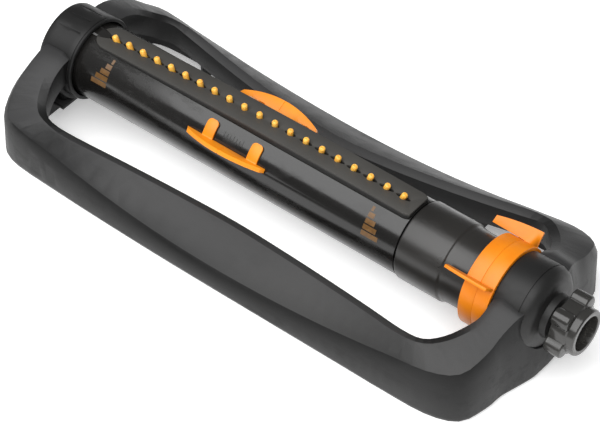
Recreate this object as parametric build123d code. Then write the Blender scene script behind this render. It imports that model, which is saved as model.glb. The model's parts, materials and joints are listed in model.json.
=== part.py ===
from build123d import *
from math import atan2, cos, degrees, hypot, pi, radians, sin, sqrt, tan
import os

# Oscillating lawn sprinkler. Millimetres. +X runs along the spray tube towards the hose inlet,
# -Y is the front, +Z is up. The origin is on the ground under the middle of the whole object.

# ---- driving dimensions ----
HALF_LENGTH = 218.0
BASE_HALF_WIDTH = 85.0
AXIS_HEIGHT = 47.0
WALL = 2.6

TUBE_RADIUS = 27.0
TUBE_BORE = 24.8
TUBE_LEFT = -197.0
TUBE_RIGHT = 86.4

HUB_WALL = 2.4
LEFT_HUB_MOUTH = -188.0
LEFT_HUB_RADIUS = 30.0
LEFT_HUB_GROWTH = 0.8
LIP_GROOVE = (-190.2, -189.4)
LIP_GROOVE_DEPTH = 0.6
RIGHT_HUB_START = 163.2
RIGHT_HUB_RADIUS = 30.0
RIGHT_HUB_END = 197.0
NECK_OUTER = 15.5
CREASE_X = (182.2, 183.0)
CREASE_DEPTH = 0.6
BAY_BORE = 24.5
HUB_SCREW_OFFSET = 22.0
HUB_SCREW_LEFT = -203.5
HUB_SCREW_RIGHT = 176.0
PAD_BOTTOM = 16.0
PAD_TOP = 19.0
PAD_LENGTH = 13.0
PAD_INNER = 14.0
PAD_OUTER = 30.0
SCREW_RADIUS = 1.4
SCREW_HEAD_RADIUS = 3.6
SCREW_HEAD_HEIGHT = 2.4
SCREW_TOP = 25.0
BOSS_RADIUS = 4.0

COLLAR_RADIUS = 28.0
COLLAR_START = 87.8
COLLAR_END = 121.0
NECK_START = 125.0
NECK_RADIUS = 26.4
NECK_END = 141.0
NECK_BORE = 24.0
MOTOR_BORE = 25.2

NOZZLE_COUNT = 20
FIRST_NOZZLE = -170.7
LAST_NOZZLE = 73.7
NOZZLE_PITCH_GROWTH = 0.047
NOZZLE_RADIUS = 2.1
NOZZLE_JET_RADIUS = 0.5
NOZZLE_REACH = 3.8
NOZZLE_ROOT = 19.2
NOZZLE_LEAN = 24.0
DECK_LEFT = -185.0
DECK_RIGHT = 92.0
DECK_CUT = 86.2
DECK_HALF_WIDTH = 11.2
DECK_CREST = 30.5
DECK_ARCH_DROP = 3.3
DECK_ARCH_RUN = 171.0
KEEL_LEFT = -176.0
KEEL_RIGHT = 80.0
KEEL_HALF_WIDTH = 4.0
KEEL_GAP = 0.1
POCKET_SHORT = 5.0
POCKET_LONG = 11.6
POCKET_WIDTH = 3.2
POCKET_DEPTH = 2.2

FRONT_SLIDER_X = -54.5
REAR_SLIDER_X = -49.0
SLIDER_LENGTH = 66.0
SLIDER_ANGLE = 62.0
SLIDER_TRAVEL = 15.0
FIN_THICKNESS = 3.0
FIN_REACH = 37.0
PRONG_SPACING = 37.6
PRONG_SHIFT = 3.0
PRONG_WIDTH = 8.5
PRONG_THICKNESS = 1.3
PRONG_TOP_ANGLE = 32.5

RING_START = 141.6
RING_END = 162.4
RING_GAP = 0.14
RING_OUTER = 32.0
RING_SPLIT = 152.0
RING_FLANGE_END = 144.0
INNER_SLEEVE_RADIUS = 30.2
LUG_INNER = 21.5
LUG_LEAD = 12.0
LUG_ANGLE = 6.0
SLEEVE_RADIUS = 29.0
SLEEVE_INNER = 26.5
SLEEVE_START = 147.0
LEVER_PIVOT = 14.0
LEVER_TIP = 24.6
LEVER_TILT = 10.0
LEVER_WIDTH = 2.6
LEVER_START = 141.3
LEVER_END = 146.4
LEVER_SHAFT_RADIUS = 1.2
TAB_ANGLE = 48.0
TAB_THICKNESS = 2.0
TAB_LEFT = 127.0
TAB_RIGHT = 161.5
TAB_LEFT_REACH = 38.0
TAB_RIGHT_REACH = 42.6
TAB_GAP = 0.2

STEM_RADIUS = 9.0
STEM_BORE = 5.6
STEM_NOSE_RADIUS = 5.0
STEM_NOSE_BORE = 3.4
STEM_NOSE_START = 124.4
STEM_NOSE_END = 132.0
RUNNING_CLEARANCE = 0.05

COUPLING_START = 199.0
COUPLING_LOBE_END = 212.6
COUPLING_LOBES = 5
COUPLING_LOBE_REACH = 23.0
LOBE_RADIUS = 6.0
LOBE_TURN = 36.0
COUPLING_ROOT_RADIUS = 17.6
COUPLING_FACE_RADIUS = 16.3
THREAD_RADIUS = 12.4
THREAD_FLOOR = 206.6

MODULE = 0.8
SUN_TEETH = 18
OUTPUT_PINION_TEETH = 12
OUTPUT_WHEEL_TEETH = 30
REDUCTION_PINION_TEETH = 10
REDUCTION_WHEEL_TEETH = 24
TURBINE_PINION_TEETH = 10
PRESSURE_ANGLE = 25.0
ADDENDUM = 0.8
DEDENDUM = 1.05
BACKLASH = 0.16
GEAR_PIN_RADIUS = 1.0
TURBINE_RADIUS = 15.0
TURBINE_BLADES = 12

# ---- base frame's section ----
END_SKIRT = 60.0
END_CROWN = 65.0
RAIL_MIDDLE = -25.0
RAIL_LEFT_TAPER = 3.4
EDGE_IN = 4.0
CROWN_IN = 6.0
FOOT_INSET = 1.4
FOOT_HEIGHT = 3.5
LIP_DEPTH = 20.0
STATION_STEPS = 3
RIB_PLACES = (-150, -110, -70, -30, 10, 50, 90, 122)
RIB_WIDTH = 2.0
RIB_INSET = 2.0
RIB_BOTTOM = 3.5

# ---- end bearing ----
BEARING_INNER = 8.05
BEARING_OUTER = 11.0
BEARING_END = -199.0
TRUNNION_RADIUS = 8.0
TRUNNION_END = -212.0

# ---- water channel and the sliders' feet ----
FOOT_LENGTH = 22.0
FOOT_THICKNESS = 2.2
FOOT_INNER = 20.8
CHANNEL_HALF_WIDTH = 7.6
CHANNEL_BOTTOM = 8.0
CHANNEL_TOP = 20.8
CHANNEL_WALL = 1.8
CHANNEL_LEFT = -188.0
PLATE_START = 89.0
PLATE_END = 92.0

# ---- stem grooves and flange ----
SEAL_GROOVE = (138.9, 140.7)
SEAL_FLOOR = 7.4
CLIP_X = (197.3, 198.7)
CLIP_INNER = 8.0
STEM_FLANGE_START = 204.3
STEM_FLANGE_END = 206.3
STEM_FLANGE_RADIUS = 11.8

# ---- washer and filter ----
WASHER_START = 206.6
WASHER_END = 209.2
WASHER_BORE = 7.6
POCKET_RADIUS = 12.9

# ---- places along the gear train ----
GEAR_PLATE_START = 105.0
GEAR_PLATE_END = 107.5
MOTOR_WALL_START = 138.6
REDUCTION_WHEEL_X = (109.0, 113.0)
REDUCTION_PINION_END = 120.0
OUTPUT_WHEEL_X = (115.0, 119.0)
OUTPUT_PINION_END = 131.0
SUN_X = (125.0, 131.2)
TURBINE_X = (97.0, 104.2)
TURBINE_HUB_RADIUS = 4.8
TURBINE_PINION_X = (108.2, 114.0)
PORT_RADIUS = 1.4
PORT_SIDE = 4.4
PORT_HEIGHT = 18.6


# ---- helpers ----
def save(shape, name):
    """Write one sub-part."""
    export_step(shape, f"parts/{name}.step")


def cylinder_x(radius, start, end, y=0.0, z=AXIS_HEIGHT):
    """A solid cylinder along X from start to end."""
    return Pos((start + end) / 2, y, z) * Rot(0, 90, 0) * Cylinder(radius, end - start)


def ring_x(outer, inner, start, end, y=0.0, z=AXIS_HEIGHT):
    """A plain ring along X."""
    return cylinder_x(outer, start, end, y, z) - cylinder_x(inner, start - 1, end + 1, y, z)


def box(x0, x1, y0, y1, z0, z1):
    """A box from its corner values."""
    return Pos((x0 + x1) / 2, (y0 + y1) / 2, (z0 + z1) / 2) * Box(x1 - x0, y1 - y0, z1 - z0)


def turned(profile):
    """A solid of revolution about the spray axis from (x, radius) points."""
    points = [(x, 0, AXIS_HEIGHT + radius) for x, radius in profile]
    face = make_face(Polyline(*points, close=True))
    return revolve(face, Axis((0, 0, AXIS_HEIGHT), (1, 0, 0)), 360)


def about_axis(shape, angle):
    """Turn a shape about the spray axis. A positive angle goes from the top to the front."""
    return shape.rotate(Axis((0, 0, AXIS_HEIGHT), (1, 0, 0)), angle)


def mirrored(shape):
    """The same shape on the other side of the X-Z plane."""
    return mirror(shape, about=Plane.XZ)


def arm_box(x0, x1, r0, r1, width, angle):
    """A box standing out from the spray axis between two radii, turned from the top."""
    upright = box(x0, x1, -width / 2, width / 2, AXIS_HEIGHT + r0, AXIS_HEIGHT + r1)
    return about_axis(upright, angle)


def sector_x(outer, inner, start, end, centre_angle, half_angle):
    """Part of a ring about the spray axis, centred on an angle from the top."""
    reach = outer * 2
    side = reach * tan(radians(half_angle))
    top = AXIS_HEIGHT + reach
    points = [(start, 0, AXIS_HEIGHT), (start, side, top), (start, -side, top)]
    wedge = extrude(make_face(Polyline(*points, close=True)), end - start, dir=(1, 0, 0))
    return ring_x(outer, inner, start, end) & about_axis(wedge, centre_angle)


def joined(shapes):
    """Fuse a list of shapes into one."""
    result = shapes[0]
    for shape in shapes[1:]:
        result = result + shape
    return result


# ---- hub outlines, shared by the covers and the frame ----
def left_hub_line(gap):
    """The left cover's outside, as (x, radius), grown by a gap."""
    slope = LEFT_HUB_GROWTH / (LEFT_HUB_MOUTH + HALF_LENGTH)
    return [(x, LEFT_HUB_RADIUS + gap + slope * (x + HALF_LENGTH)) for x in (-230, -180)]


def right_hub_line(gap):
    """The right cover's outside beyond its straight part, as (x, radius), grown by a gap."""
    dome = [(183.0, 30.0), (187.0, 28.6), (190.0, 25.6), (191.5, 23.0)]
    return [(x, radius + gap) for x, radius in dome]


# ---- base frame ----
# Each station of the front half of the loop: the outer foot, the inner edge in plan, and the
# heights of the skirt's top, of the sloping face's outer edge and of its inner edge.


def rail_station(x):
    """A station on the long rail, low and wide in the middle and rising to both corners."""
    run = abs(x - RAIL_MIDDLE)
    left_run = max(RAIL_MIDDLE - x, 0.0)
    outer = BASE_HALF_WIDTH - RAIL_LEFT_TAPER * (left_run / 150.0) ** 2
    inner = 49.0 + 15.5 * (run / 150.0) ** 1.5
    crown = 32.0 + 10.5 * (run / 150.0) ** 1.5
    skirt = 12.0 + 17.0 * (run / 170.0) ** 2.4
    edge = 17.0 + 18.0 * (run / 160.0) ** 2
    return (x, outer), (x, inner), skirt, edge, crown


LEFT_END = [
    ((-216.5, 0.0), (-191.0, 0.0), END_SKIRT, END_CROWN, END_CROWN + 0.5),
    ((-216.5, 27.0), (-191.0, 27.0), END_SKIRT, END_CROWN, END_CROWN + 0.5),
    ((-216.5, 43.0), (-191.0, 41.0), 55.0, 59.5, 60.0),
    ((-216.5, 59.0), (-189.0, 51.0), 45.5, 50.0, 52.5),
    ((-212.0, 73.5), (-184.0, 59.0), 33.0, 38.0, 46.0),
    ((-196.0, 79.8), (-174.5, 63.0), 29.5, 35.0, 43.5),
]
RAIL = [rail_station(x) for x in (-155.0, -115.0, -70.0, -25.0, 20.0, 60.0, 95.0, 122.0)]
RIGHT_END = [
    ((156.0, 83.5), (139.0, 64.5), 30.0, 37.5, 45.5),
    ((177.5, 75.0), (150.0, 57.0), 33.5, 42.0, 49.0),
    ((184.5, 56.0), (158.0, 47.0), 39.0, 49.0, 54.0),
    ((186.0, 41.0), (163.0, 38.0), 42.0, 55.5, 59.0),
    ((189.5, 28.0), (164.0, 27.0), 43.0, 63.0, 65.5),
    ((193.0, 14.0), (164.0, 13.5), 43.0, 63.0, 65.5),
    ((193.5, 0.0), (164.0, 0.0), 43.0, 63.0, 65.5),
]
STATIONS = LEFT_END + RAIL + RIGHT_END


def flat(station):
    """The seven numbers of a station in one list."""
    return [*station[0], *station[1], *station[2:]]


def fine_stations():
    """The stations with smooth Catmull-Rom steps between them."""
    rows = [flat(station) for station in STATIONS]
    fine = []
    for index in range(len(rows) - 1):
        before = rows[max(index - 1, 0)]
        start = rows[index]
        end = rows[index + 1]
        after = rows[min(index + 2, len(rows) - 1)]
        straight = index in (0, len(rows) - 2)
        steps = 1 if straight else STATION_STEPS
        for step in range(steps):
            t = step / steps
            row = [
                0.5 * (2 * b + (c - a) * t + (2 * a - 5 * b + 4 * c - d) * t**2
                       + (3 * b - a - 3 * c + d) * t**3)
                for a, b, c, d in zip(before, start, end, after)
            ]
            fine.append(row)
    fine.append(rows[-1])
    return [((r[0], r[1]), (r[2], r[3]), r[4], r[5], r[6]) for r in fine]


def station_face(station, outline):
    """A vertical face across the rail at one station, from (run-in, height) points."""
    (outer_x, outer_y), (inner_x, inner_y) = station[0], station[1]
    width = hypot(inner_x - outer_x, inner_y - outer_y)
    along = ((inner_x - outer_x) / width, (inner_y - outer_y) / width)
    points = [(outer_x + along[0] * run, -(outer_y + along[1] * run), z) for run, z in outline]
    return make_face(Polyline(*points, close=True))


def rail_width(station):
    """The width of the rail at one station."""
    return hypot(station[1][0] - station[0][0], station[1][1] - station[0][1])


def envelope_outline(station):
    """The outside of the rail: skirt, bevel, sloping face, inner bevel and inner wall."""
    width = rail_width(station)
    skirt, edge, crown = station[2:]
    return [
        (FOOT_INSET, 0), (0, FOOT_HEIGHT), (1, skirt), (EDGE_IN, edge), (width - CROWN_IN, crown),
        (width, crown - 2), (width, 0),
    ]


def cavity_outline(station):
    """The hollow under the rail, which also cuts away the inner wall below its lip."""
    width = rail_width(station)
    skirt, edge, crown = station[2:]
    lip = crown - LIP_DEPTH
    return [
        (FOOT_INSET + WALL, -1),
        (1 + WALL, skirt - WALL * 0.6),
        (EDGE_IN + WALL * 0.8, edge - WALL),
        (width - CROWN_IN - WALL * 0.3, crown - WALL),
        (width - WALL, crown - 2 - WALL),
        (width - WALL, lip),
        (width + 2, lip),
        (width + 2, -1),
    ]


def half_loop(outline):
    """The front half of the loop, lofted through all its stations."""
    return loft([station_face(station, outline(station)) for station in fine_stations()], ruled=True)


def make_base_frame():
    """The hollow moulded loop with ribs, saddles for the hubs and pads for their screws."""
    envelope = half_loop(envelope_outline)
    shell = envelope - half_loop(cavity_outline)
    inserts = []
    for x in RIB_PLACES:
        inner = rail_station(x)[1][1] + RIB_INSET
        inserts.append(box(x - RIB_WIDTH / 2, x + RIB_WIDTH / 2, -BASE_HALF_WIDTH, -inner, RIB_BOTTOM, 45))
    left_saddle = cylinder_x(LEFT_HUB_RADIUS + 3.6, -215, -196)
    right_saddle = cylinder_x(RIGHT_HUB_RADIUS + 3, 164.5, 187.5)
    inserts += [left_saddle, right_saddle]
    for x in (HUB_SCREW_LEFT, HUB_SCREW_RIGHT):
        start, end = x - PAD_LENGTH / 2, x + PAD_LENGTH / 2
        inserts.append(box(start, end, -PAD_OUTER, -PAD_INNER, PAD_BOTTOM, PAD_TOP))
    front = shell
    for insert in inserts:
        front = front + (insert & envelope)
    left_bore = turned([(-230, 0)] + left_hub_line(0.1) + [(-180, 0)])
    right_line = right_hub_line(0.1)[:3] + [(191.0, BAY_BORE), (230, BAY_BORE)]
    right_bore = turned([(150, 0), (150, RIGHT_HUB_RADIUS + 0.1)] + right_line + [(230, 0)])
    front = front - left_bore - right_bore
    for x in (HUB_SCREW_LEFT, HUB_SCREW_RIGHT):
        hole = Pos(x, -HUB_SCREW_OFFSET, PAD_BOTTOM) * Cylinder(SCREW_RADIUS + 0.4, 20)
        boss_room = Pos(x, -HUB_SCREW_OFFSET, PAD_TOP + 20) * Cylinder(BOSS_RADIUS + 0.5, 40)
        front = front - hole - boss_room
    return front + mirrored(front)


# ---- hub covers, bearing and screws ----
def screw_bosses(x, bore_radius):
    """Two bosses under a cover, each with its screw hole, clear of the cover's inside."""
    bosses = []
    for y in (-HUB_SCREW_OFFSET, HUB_SCREW_OFFSET):
        height = AXIS_HEIGHT - PAD_TOP
        boss = Pos(x, y, PAD_TOP + height / 2) * Cylinder(BOSS_RADIUS, height)
        hole = Pos(x, y, (PAD_TOP - 2 + SCREW_TOP) / 2) * Cylinder(SCREW_RADIUS, SCREW_TOP - PAD_TOP + 2)
        bosses.append(boss - hole - cylinder_x(bore_radius, x - 10, x + 10))
    return bosses


def make_left_hub_cover():
    """A closed cup round the tube's far end, with the bearing's boss inside."""
    end_radius = LEFT_HUB_RADIUS
    mouth_radius = end_radius + LEFT_HUB_GROWTH
    outside = [
        (-HALF_LENGTH, 0), (-HALF_LENGTH, end_radius - 2.0), (-HALF_LENGTH + 0.6, end_radius - 0.6),
        (-HALF_LENGTH + 2.0, end_radius), (LIP_GROOVE[0], mouth_radius - 0.1),
        (LIP_GROOVE[0], mouth_radius - LIP_GROOVE_DEPTH), (LIP_GROOVE[1], mouth_radius - LIP_GROOVE_DEPTH),
        (LIP_GROOVE[1], mouth_radius), (LEFT_HUB_MOUTH - 0.6, mouth_radius),
        (LEFT_HUB_MOUTH, mouth_radius - 0.6), (LEFT_HUB_MOUTH, 0),
    ]
    bore = TUBE_RADIUS + 1.2
    cup = turned(outside) - cylinder_x(bore, -HALF_LENGTH + HUB_WALL, -180)
    boss = ring_x(BEARING_OUTER + 2.5, BEARING_OUTER, -HALF_LENGTH + HUB_WALL, BEARING_END)
    floor = cylinder_x(BEARING_OUTER + 2.5, -HALF_LENGTH + HUB_WALL - 0.5, TRUNNION_END - 1.0)
    cover = joined([cup, boss, floor] + screw_bosses(HUB_SCREW_LEFT, bore))
    for angle in (-22, 0, 22):
        cover = cover - arm_box(-213, -194, end_radius - 0.1, end_radius + 5, 1.2, angle)
    return cover




def make_end_bearing():
    """The plain bush that the trunnion turns in."""
    return ring_x(BEARING_OUTER, BEARING_INNER, TRUNNION_END, BEARING_END)


def make_right_hub_cover():
    """The cover round the inlet, with the sleeve that the range rings turn on."""
    crease = RIGHT_HUB_RADIUS - CREASE_DEPTH
    outside = [
        (RIGHT_HUB_START, 0), (RIGHT_HUB_START, RIGHT_HUB_RADIUS), (CREASE_X[0], RIGHT_HUB_RADIUS),
        (CREASE_X[0], crease), (CREASE_X[1], crease), *right_hub_line(0), (192.3, NECK_OUTER),
        (RIGHT_HUB_END, NECK_OUTER), (RIGHT_HUB_END, 0),
    ]
    inside = [
        (RIGHT_HUB_START + HUB_WALL, 0), (RIGHT_HUB_START + HUB_WALL, RIGHT_HUB_RADIUS - HUB_WALL),
        (182.0, RIGHT_HUB_RADIUS - HUB_WALL), (185.2, 26.4), (187.8, 23.8), (189.0, 20.8),
        (190.0, NECK_OUTER - HUB_WALL), (RIGHT_HUB_END - HUB_WALL, NECK_OUTER - HUB_WALL),
        (RIGHT_HUB_END - HUB_WALL, 0),
    ]
    shell = turned(outside) - turned(inside)
    shell = shell - cylinder_x(SLEEVE_INNER, 160, RIGHT_HUB_START + HUB_WALL + 0.1)
    sleeve = ring_x(SLEEVE_RADIUS, SLEEVE_INNER, SLEEVE_START, RIGHT_HUB_START + 1)
    web = cylinder_x(SLEEVE_INNER + 1, 154, 157)
    cover = joined([shell, sleeve, web] + screw_bosses(HUB_SCREW_RIGHT, RIGHT_HUB_RADIUS - HUB_WALL))
    return cover - cylinder_x(STEM_RADIUS, 140, 230)


def make_hub_screws():
    """Four identical self-tapping screws that hold the covers down from underneath."""
    screws = []
    for x in (HUB_SCREW_LEFT, HUB_SCREW_RIGHT):
        for y in (-HUB_SCREW_OFFSET, HUB_SCREW_OFFSET):
            head_z = PAD_BOTTOM - SCREW_HEAD_HEIGHT
            head = Pos(x, y, head_z + SCREW_HEAD_HEIGHT / 2) * Cylinder(SCREW_HEAD_RADIUS, SCREW_HEAD_HEIGHT)
            shank = Pos(x, y, (PAD_BOTTOM - 1 + SCREW_TOP) / 2) * Cylinder(
                SCREW_RADIUS, SCREW_TOP - PAD_BOTTOM + 1
            )
            cross = Pos(x, y, head_z) * (Box(4.2, 0.9, 2) + Box(0.9, 4.2, 2))
            screws.append(head + shank - cross)
    return Compound(children=screws)


# ---- spray tube, deck, nozzles and water channel ----
def slot_prism(x0, x1, half_width, z0, z1):
    """A long upright prism with round ends."""
    length = x1 - x0
    sketch = SlotOverall(length, half_width * 2)
    return Pos((x0 + x1) / 2, 0, AXIS_HEIGHT + z0) * extrude(sketch, z1 - z0)


def nozzle_places():
    """The deck position and lean of every nozzle. They fan out from the middle."""
    places = []
    for index in range(NOZZLE_COUNT):
        share = index / (NOZZLE_COUNT - 1)
        along = share * (1 - NOZZLE_PITCH_GROWTH * (1 - share))
        x = FIRST_NOZZLE + along * (LAST_NOZZLE - FIRST_NOZZLE)
        places.append((x, NOZZLE_LEAN * (2 * share - 1)))
    return places


def deck_top(x):
    """The height of the arched deck above the spray axis."""
    return DECK_CREST - DECK_ARCH_DROP * (x / DECK_ARCH_RUN) ** 2


def leaning_rod(x, lean, radius, root, reach):
    """A rod through the deck at x, leaning along the tube, from a height to a reach above the deck."""
    low = (root - deck_top(x)) / cos(radians(lean))
    rod = Pos(0, 0, (low + reach) / 2) * Cylinder(radius, reach - low)
    return Pos(x, 0, AXIS_HEIGHT + deck_top(x)) * Rot(0, lean, 0) * rod


def make_spray_tube():
    """The round tube with the long opening for the deck's keel and a slot under each width slider."""
    tube = ring_x(TUBE_RADIUS, TUBE_BORE, TUBE_LEFT, TUBE_RIGHT)
    tube = tube - slot_prism(KEEL_LEFT - KEEL_GAP, KEEL_RIGHT + KEEL_GAP, KEEL_HALF_WIDTH + KEEL_GAP, 15, 40)
    for centre, angle in ((FRONT_SLIDER_X, SLIDER_ANGLE), (REAR_SLIDER_X, -SLIDER_ANGLE)):
        reach = FOOT_LENGTH / 2 + SLIDER_TRAVEL + 0.5
        slot = arm_box(centre - reach, centre + reach, 20, 30, FOOT_THICKNESS + 0.6, angle)
        tube = tube - slot
    return tube




def deck_outline():
    """The deck's side view: straight underneath and a long shallow arch on top."""
    ends = [(x, 0, AXIS_HEIGHT + deck_top(x)) for x in (DECK_LEFT - 1, 0, DECK_RIGHT + 1)]
    low_right = (DECK_RIGHT + 1, 0, AXIS_HEIGHT + CHANNEL_TOP)
    low_left = (DECK_LEFT - 1, 0, AXIS_HEIGHT + CHANNEL_TOP)
    return make_face(ThreePointArc(*ends) + Polyline(ends[-1], low_right, low_left, ends[0]))


def make_nozzle_deck():
    """The raised strip that the nozzles come through, with a pocket each side of every nozzle."""
    side_view = extrude(deck_outline(), DECK_HALF_WIDTH + 1, dir=(0, 1, 0), both=True)
    cap = side_view & slot_prism(DECK_LEFT, DECK_RIGHT, DECK_HALF_WIDTH, CHANNEL_TOP, 40)
    cap = cap - cylinder_x(TUBE_RADIUS + RUNNING_CLEARANCE, DECK_LEFT - 20, DECK_RIGHT + 20)
    cap = cap - box(DECK_CUT, DECK_RIGHT + 20, -30, 30, 0, AXIS_HEIGHT + 40)
    keel = slot_prism(KEEL_LEFT, KEEL_RIGHT, KEEL_HALF_WIDTH, CHANNEL_TOP + KEEL_GAP, TUBE_RADIUS)
    deck = cap + (keel & side_view)
    for x, lean in nozzle_places():
        length = POCKET_SHORT + (POCKET_LONG - POCKET_SHORT) * min(1.0, 2.2 * abs(lean) / NOZZLE_LEAN)
        pocket = extrude(Ellipse(length / 2, POCKET_WIDTH / 2), POCKET_DEPTH + 1)
        deck = deck - Pos(x, 0, AXIS_HEIGHT + deck_top(x) - POCKET_DEPTH) * pocket
        deck = deck - leaning_rod(x, lean, NOZZLE_RADIUS + 0.1, NOZZLE_ROOT, 5)
    return deck


def make_nozzles():
    """The rubber nozzles, each a round-nosed tube with a fine jet hole."""
    nozzles = []
    for x, lean in nozzle_places():
        body = leaning_rod(x, lean, NOZZLE_RADIUS, NOZZLE_ROOT, NOZZLE_REACH)
        tip = body.faces().sort_by(Axis.Z)[-1]
        body = fillet(tip.edges(), NOZZLE_RADIUS * 0.7)
        nozzles.append(body - leaning_rod(x, lean, NOZZLE_JET_RADIUS, NOZZLE_ROOT - 2, NOZZLE_REACH + 1))
    return Compound(children=nozzles)


def make_water_channel():
    """The closed rectangular duct that feeds the nozzles from below."""
    duct = box(CHANNEL_LEFT, PLATE_START, -CHANNEL_HALF_WIDTH, CHANNEL_HALF_WIDTH,
               AXIS_HEIGHT + CHANNEL_BOTTOM, AXIS_HEIGHT + CHANNEL_TOP)
    inner = CHANNEL_HALF_WIDTH - CHANNEL_WALL
    duct = duct - box(CHANNEL_LEFT + CHANNEL_WALL, PLATE_START + 1, -inner, inner,
                      AXIS_HEIGHT + CHANNEL_BOTTOM + CHANNEL_WALL, AXIS_HEIGHT + CHANNEL_TOP - CHANNEL_WALL)
    for x, lean in nozzle_places():
        duct = duct - leaning_rod(x, lean, NOZZLE_RADIUS, NOZZLE_ROOT - 2, 0)
    return duct


def make_end_plug():
    """The plug in the tube's far end, with the trunnion that turns in the bearing."""
    disc = cylinder_x(TUBE_BORE - 0.05, TUBE_LEFT, TUBE_LEFT + 7)
    groove = ring_x(TUBE_BORE + 1, TUBE_BORE - 2.1, TUBE_LEFT + 3, TUBE_LEFT + 5.2)
    trunnion = cylinder_x(TRUNNION_RADIUS, TRUNNION_END + 0.4, TUBE_LEFT + 1)
    shoulder = cylinder_x(TRUNNION_RADIUS + 2, BEARING_END + 0.4, TUBE_LEFT + 1)
    return disc - groove + trunnion + shoulder


def make_plug_seal():
    """The O-ring in the plug's groove."""
    seal = Pos(TUBE_LEFT + 4.1, 0, AXIS_HEIGHT) * Rot(0, 90, 0) * Torus(TUBE_BORE - 1.05, 1.0)
    return seal


# ---- width sliders ----
def make_width_slider(centre):
    """A bowed fin with two flat prongs over the tube and a foot through the slot. Front side."""
    base = TUBE_RADIUS + 0.3
    half = SLIDER_LENGTH / 2
    left = (centre - half, 0, AXIS_HEIGHT + base)
    right = (centre + half, 0, AXIS_HEIGHT + base)
    left_shoulder = (centre - half + 2.0, 0, AXIS_HEIGHT + base + 3.0)
    right_shoulder = (centre + half - 2.0, 0, AXIS_HEIGHT + base + 3.0)
    crest = (centre, 0, AXIS_HEIGHT + FIN_REACH)
    outline = Line(left, left_shoulder) + ThreePointArc(left_shoulder, crest, right_shoulder)
    outline = outline + Line(right_shoulder, right) + Line(right, left)
    fin = extrude(make_face(outline), FIN_THICKNESS / 2, dir=(0, 1, 0), both=True)
    for side in (-1, 1):
        y = side * FIN_THICKNESS / 2
        fin = fin - box(centre - 0.4, centre + 0.4, y - 0.4, y + 0.4,
                        AXIS_HEIGHT + base + 1.5, AXIS_HEIGHT + 40)
    fin = about_axis(fin, SLIDER_ANGLE)
    foot = arm_box(centre - FOOT_LENGTH / 2, centre + FOOT_LENGTH / 2, FOOT_INNER, base + 1,
                   FOOT_THICKNESS, SLIDER_ANGLE)
    parts = [fin, foot]
    middle_angle = (SLIDER_ANGLE + PRONG_TOP_ANGLE) / 2
    half_angle = (SLIDER_ANGLE - PRONG_TOP_ANGLE) / 2
    for side in (-1, 1):
        x = centre + PRONG_SHIFT + side * PRONG_SPACING / 2
        start, end = x - PRONG_WIDTH / 2, x + PRONG_WIDTH / 2
        prong = sector_x(base + PRONG_THICKNESS, base, start, end, middle_angle, half_angle)
        corners = prong.edges().filter_by(lambda edge: edge.length < PRONG_THICKNESS * 1.5)
        tip_corners = corners.sort_by(Axis.Z)[-2:]
        parts.append(fillet(tip_corners, 3.0))
    return joined(parts)


def make_shutter(centre):
    """The strip inside the tube that the front slider drags along the water channel."""
    near = CHANNEL_HALF_WIDTH + 0.4
    low = AXIS_HEIGHT + 9
    strip = box(centre - 80, centre + 80, -near - 2.2, -near, low, low + 11)
    tongue = box(centre - 10, centre + 10, -19.5, -near - 1, low, low + 2.5)
    return strip + tongue


# ---- range rings ----
def tab_plate(own_start, own_end, angle):
    """The flat tab that stands on one ring and reaches over its neighbour."""
    over = RING_OUTER + TAB_GAP
    z = AXIS_HEIGHT
    top_left = (TAB_LEFT + 0.6, 0, z + TAB_LEFT_REACH)
    top_right = (TAB_RIGHT, 0, z + TAB_RIGHT_REACH)
    middle = ((TAB_LEFT + TAB_RIGHT) / 2, 0, z + (TAB_LEFT_REACH + TAB_RIGHT_REACH) / 2 + 0.9)
    under = [(TAB_RIGHT + 0.4, over), (own_end, over), (own_end, RING_OUTER - 1), (own_start, RING_OUTER - 1),
             (own_start, over), (TAB_LEFT, over + 0.6)]
    points = [(x, 0, z + radius) for x, radius in under]
    outline = ThreePointArc(top_left, middle, top_right) + Polyline(top_right, *points, top_left)
    plate = extrude(make_face(outline), TAB_THICKNESS / 2, dir=(0, 1, 0), both=True)
    return about_axis(plate, angle)


def make_front_range_ring():
    """The ring nearest the tube, with a flange and its trip lug, and the front tab."""
    band_end = RING_SPLIT - RING_GAP / 2
    inner = INNER_SLEEVE_RADIUS + RUNNING_CLEARANCE
    band = ring_x(RING_OUTER, inner, RING_START, band_end)
    flange = ring_x(RING_OUTER, SLEEVE_RADIUS, RING_START, RING_FLANGE_END)
    lug = sector_x(SLEEVE_RADIUS + 1, LUG_INNER, RING_START + 0.2, RING_FLANGE_END,
                   TAB_ANGLE + LUG_LEAD + LUG_ANGLE / 2, LUG_ANGLE / 2)
    return joined([band, flange, lug, tab_plate(RING_START + 0.4, band_end, TAB_ANGLE)])


def make_rear_range_ring():
    """The ring nearest the inlet. Its inner sleeve runs under the front ring to its own lug."""
    band_start = RING_SPLIT + RING_GAP / 2
    sleeve_start = RING_FLANGE_END + RING_GAP
    inner = SLEEVE_RADIUS + RUNNING_CLEARANCE
    band = ring_x(RING_OUTER, inner, band_start, RING_END)
    sleeve = ring_x(INNER_SLEEVE_RADIUS, inner, sleeve_start, RING_END)
    lug = sector_x(SLEEVE_RADIUS + 0.6, LUG_INNER, sleeve_start, SLEEVE_START - 0.3,
                   -TAB_ANGLE - LUG_LEAD - LUG_ANGLE / 2, LUG_ANGLE / 2)
    return joined([band, sleeve, lug, tab_plate(band_start, RING_END - 0.2, -TAB_ANGLE)])


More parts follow.
